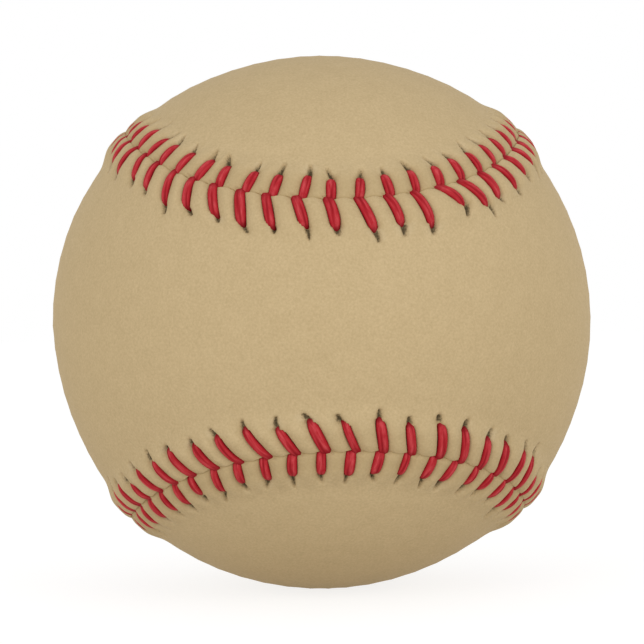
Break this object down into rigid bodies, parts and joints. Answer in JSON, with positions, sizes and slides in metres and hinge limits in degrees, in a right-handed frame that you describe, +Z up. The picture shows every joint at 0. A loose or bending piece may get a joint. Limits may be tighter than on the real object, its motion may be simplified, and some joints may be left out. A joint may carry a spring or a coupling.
{
  "type": "baseball",
  "caption": "Leather-covered baseball with a raised two-lobed seam in red waxed thread, over wound yarn and a cork and rubber pill.",
  "frame": {"origin": "the ball's centre", "axes": "+Z up, -Y out of the waist of the front cover panel, which is the side that the picture shows, and +Y out of the waist of the back panel; the front panel's lobes lie at +X and -X, and the back panel's at +Z and -Z"},
  "size_m": [0.0748, 0.0748, 0.0748],
  "materials": {
    "cork": "pressed cork granules",
    "black_rubber": "matt moulded rubber",
    "red_rubber": "matt moulded rubber",
    "grey_wool": "wound wool yarn",
    "white_wool": "wound wool yarn",
    "finishing_yarn": "fine wound cotton and polyester yarn",
    "cover_leather": "smooth tan cowhide with a fine grain",
    "waxed_thread": "waxed red cotton thread"
  },
  "bodies": {
    "root": {"cork_core": "cork", "pill_gasket": "red_rubber", "black_rubber_shell_back": "black_rubber", "red_rubber_shell_back": "red_rubber", "black_rubber_shell_front": "black_rubber", "red_rubber_shell_front": "red_rubber", "first_winding": "grey_wool", "second_winding": "white_wool", "third_winding": "grey_wool", "finishing_winding": "finishing_yarn", "cover_panel_front": "cover_leather", "cover_panel_back": "cover_leather", "seam_thread": "waxed_thread"}
  },
  "joints": []
}
